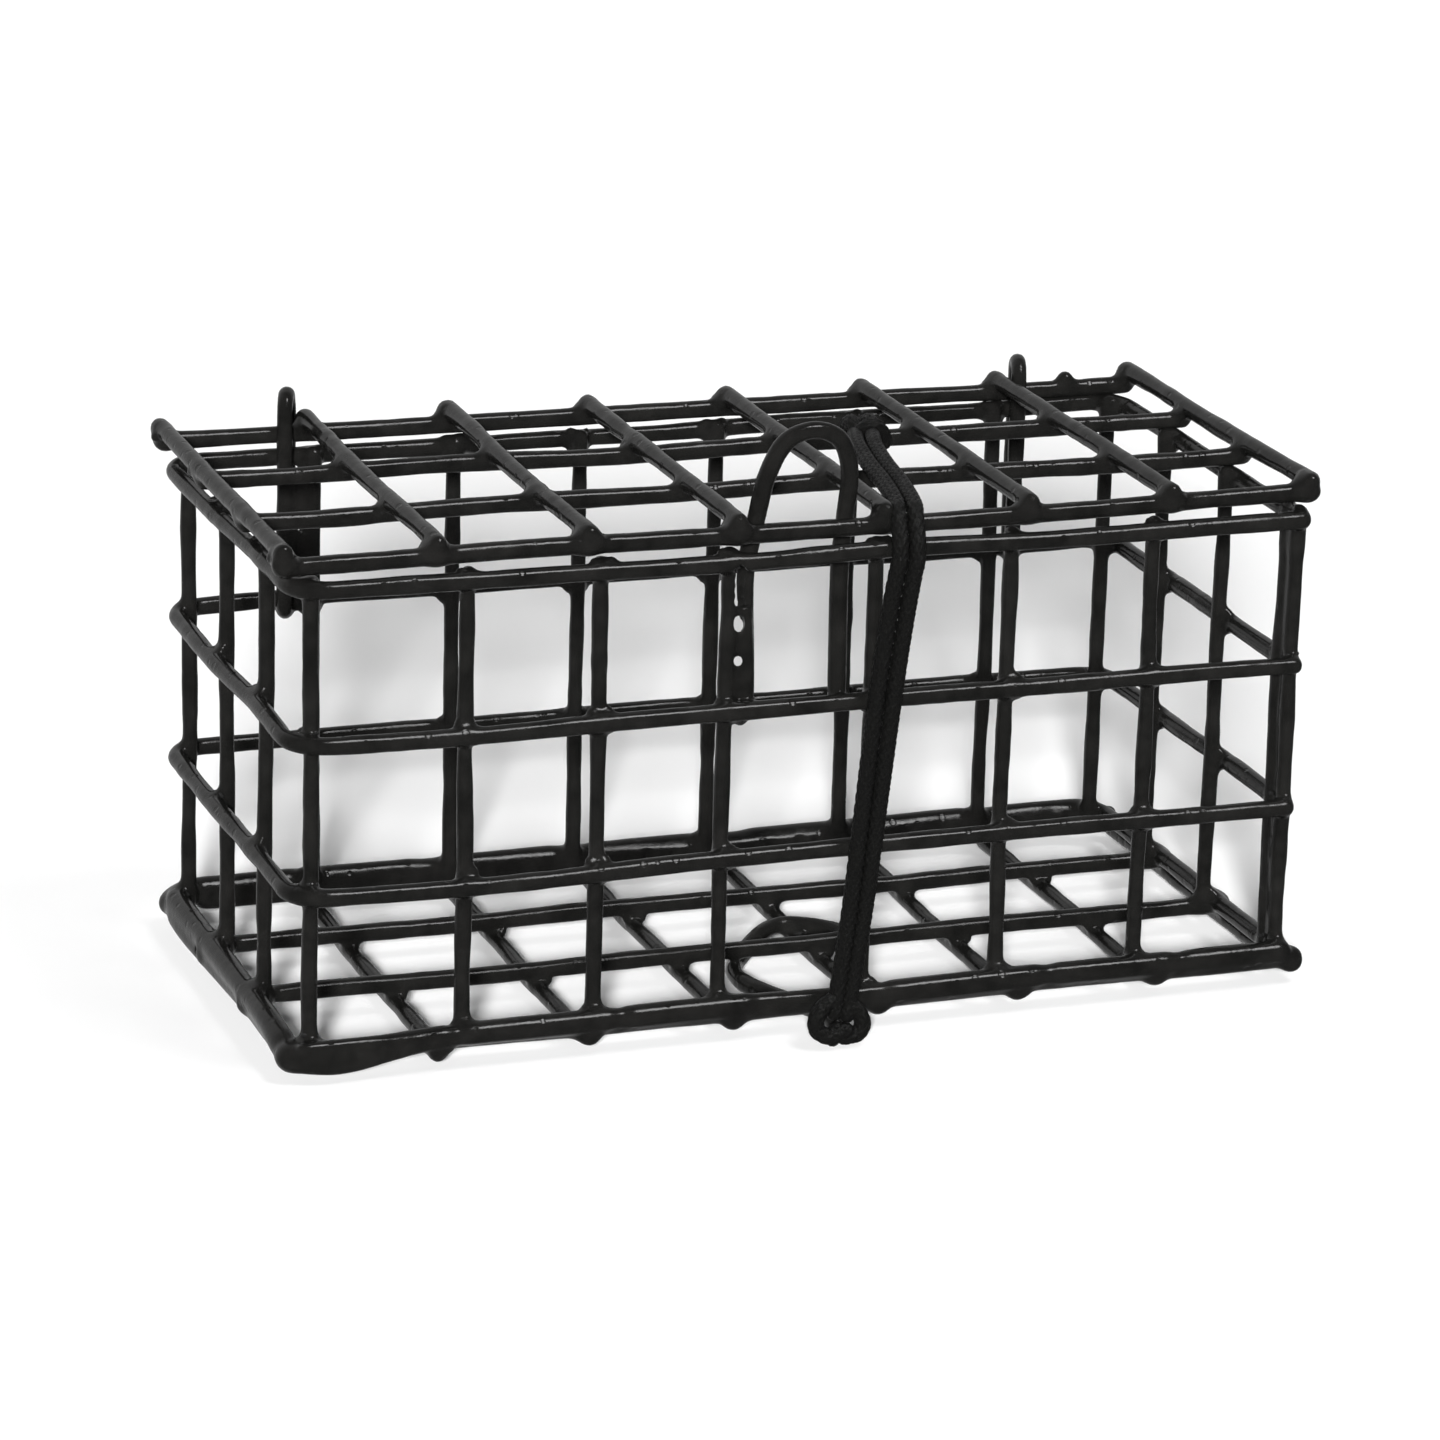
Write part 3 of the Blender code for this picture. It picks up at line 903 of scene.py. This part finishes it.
def build_pieces():
    rng = np.random.default_rng(7)
    coat = vinyl()
    shiny = bubble_vinyl()
    cage = Field((-96, -45, -2.5), (96, 45, 108))
    build_floor(cage, rng)
    build_walls(cage, rng)
    build_hasp_and_loops(cage, rng)
    cage.values[:, :, : int(2.5 / STEP)] = FAR
    points, quads = cage.mesh()
    points[:, 2] = np.maximum(points[:, 2], 0.02)
    parts = split_by_height(points, quads, 19.5)
    names = cage_nodes()
    low_names = [n for n in names if n.startswith(("floor_", "wall_rail_bottom"))]
    high_names = [n for n in names if n not in low_names]
    for title, part, stands_for in (
        ("floor_coated_wires", parts[0], low_names),
        ("wall_coated_wires", parts[1], high_names),
    ):
        piece = mesh_object(title, *part, coat)
        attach(piece, "cage")
        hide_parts(*stands_for)
    lid = Field((-97, -45, 80), (97, 45, 95))
    build_lid(lid, rng)
    piece = mesh_object("lid_coated_wires", *lid.mesh(), coat)
    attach(piece, "lid")
    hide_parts(*[n for n in frame["nodes"] if n.startswith("lid_")])
    for title, spots, body in (
        ("cage_coating_bubbles", wall_bubble_spots(rng), "cage"),
        ("lid_coating_bubbles", lid_bubble_spots(rng), "lid"),
    ):
        piece = bubbles(title, spots, shiny, 11)
        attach(piece, body)
    cord = build_cord(braid())
    for side in SIDES:
        piece = cord[side]
        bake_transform(piece)
        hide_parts(f"cord_top_strand_{side}", f"cord_front_strand_{side}")
    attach(cord["hitch"], "lid")
    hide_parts("cord_hitch")
    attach(cord["knot"], "cord")
    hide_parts("cord_knot")


# ---------------------------------------------------------------- studio

def camera():
    data = bpy.data.cameras.new("camera")
    data.sensor_width = 36
    data.lens = 146.8
    data.clip_start, data.clip_end = 0.05, 20
    obj = bpy.data.objects.new("camera", data)
    right = Vector((0.94217, -0.33414, 0.02561))
    up = Vector((0.07910, 0.29600, 0.95191))
    back = Vector((-0.32565, -0.89483, 0.30532))
    turn = Matrix((right, up, back)).transposed().to_4x4()
    obj.matrix_world = Matrix.Translation((-0.3269, -0.8925, 0.3480)) @ turn
    bpy.context.scene.collection.objects.link(obj)
    bpy.context.scene.camera = obj


def pale_floor():
    made, tree, shader = nodes_of("pale_floor")
    place = add_node(tree, "ShaderNodeTexCoord").outputs["Object"]
    cloud = add_node(tree, "ShaderNodeTexNoise", Scale=3.0, Detail=2.0)
    tree.links.new(place, cloud.inputs["Vector"])
    tone = ramp(tree, cloud.outputs["Fac"], [(0.3, (0.9, 0.9, 0.9)), (0.7, (0.93, 0.93, 0.93))])
    tree.links.new(tone, shader.inputs["Base Color"])
    shader.inputs["Roughness"].default_value = 0.9
    shader.inputs["Specular IOR Level"].default_value = 0.1
    mesh = bmesh.new()
    bmesh.ops.create_grid(mesh, x_segments=8, y_segments=8, size=6.0)
    data = bpy.data.meshes.new("studio_floor")
    mesh.to_mesh(data)
    mesh.free()
    data.materials.append(made)
    obj = bpy.data.objects.new("studio_floor", data)
    obj.visible_glossy = False
    bpy.context.scene.collection.objects.link(obj)


def direction(azimuth, elevation):
    """Towards a light. Azimuth 0 is in front of the cage, and positive is towards +X."""
    a, e = math.radians(azimuth), math.radians(elevation)
    return Vector((math.sin(a) * math.cos(e), -math.cos(a) * math.cos(e), math.sin(e)))


def sun(name, azimuth, elevation, spread, strength):
    """A distant soft light, kept out of reflections."""
    data = bpy.data.lights.new(name, "SUN")
    data.energy = strength
    data.angle = math.radians(spread)
    obj = bpy.data.objects.new(name, data)
    obj.rotation_euler = direction(azimuth, elevation).to_track_quat("Z", "Y").to_euler()
    obj.visible_glossy = False
    bpy.context.scene.collection.objects.link(obj)


SOFT_BOX_DEG = 7
SOFT_BOX_LEVEL = 9.0


def studio():
    """A white sweep behind the cage, a dark room in front of it and soft light from above the camera."""
    world = bpy.data.worlds.new("studio")
    world.use_nodes = True
    tree = world.node_tree
    place = add_node(tree, "ShaderNodeTexCoord").outputs["Generated"]
    split = add_node(tree, "ShaderNodeSeparateXYZ")
    tree.links.new(place, split.inputs["Vector"])
    spread = add_node(tree, "ShaderNodeMapRange")
    for key, value in (("From Min", -1.0), ("From Max", 1.0), ("To Min", 0.0), ("To Max", 1.0)):
        spread.inputs[key].default_value = value
    tree.links.new(split.outputs["Y"], spread.inputs["Value"])
    tone = ramp(tree, spread.outputs["Result"], [(0.0, 0.03), (0.55, 0.06), (0.85, 0.34), (1.0, 0.46)])
    # A soft box above the camera shows in the vinyl as a thin bright line along each wire.
    facing = add_node(tree, "ShaderNodeVectorMath", operation="DOT_PRODUCT")
    facing.inputs[1].default_value = direction(41.5, 60.5)
    tree.links.new(place, facing.inputs[0])
    box = add_node(tree, "ShaderNodeMapRange")
    for key, degrees, level in (("Min", SOFT_BOX_DEG + 3, 0.0), ("Max", SOFT_BOX_DEG, SOFT_BOX_LEVEL)):
        box.inputs[f"From {key}"].default_value = math.cos(math.radians(degrees))
        box.inputs[f"To {key}"].default_value = level
    tree.links.new(facing.outputs["Value"], box.inputs["Value"])
    total = add_node(tree, "ShaderNodeMath", operation="ADD")
    tree.links.new(tone, total.inputs[0])
    tree.links.new(box.outputs["Result"], total.inputs[1])
    background = tree.nodes["Background"]
    background.inputs["Color"].default_value = (1, 1, 1, 1)
    tree.links.new(total.outputs["Value"], background.inputs["Strength"])
    bpy.context.scene.world = world
    sun("front_light", -22, 19, 8, 8.6)
    bpy.context.scene.view_settings.view_transform = "Standard"


build_pieces()
camera()
pale_floor()
studio()
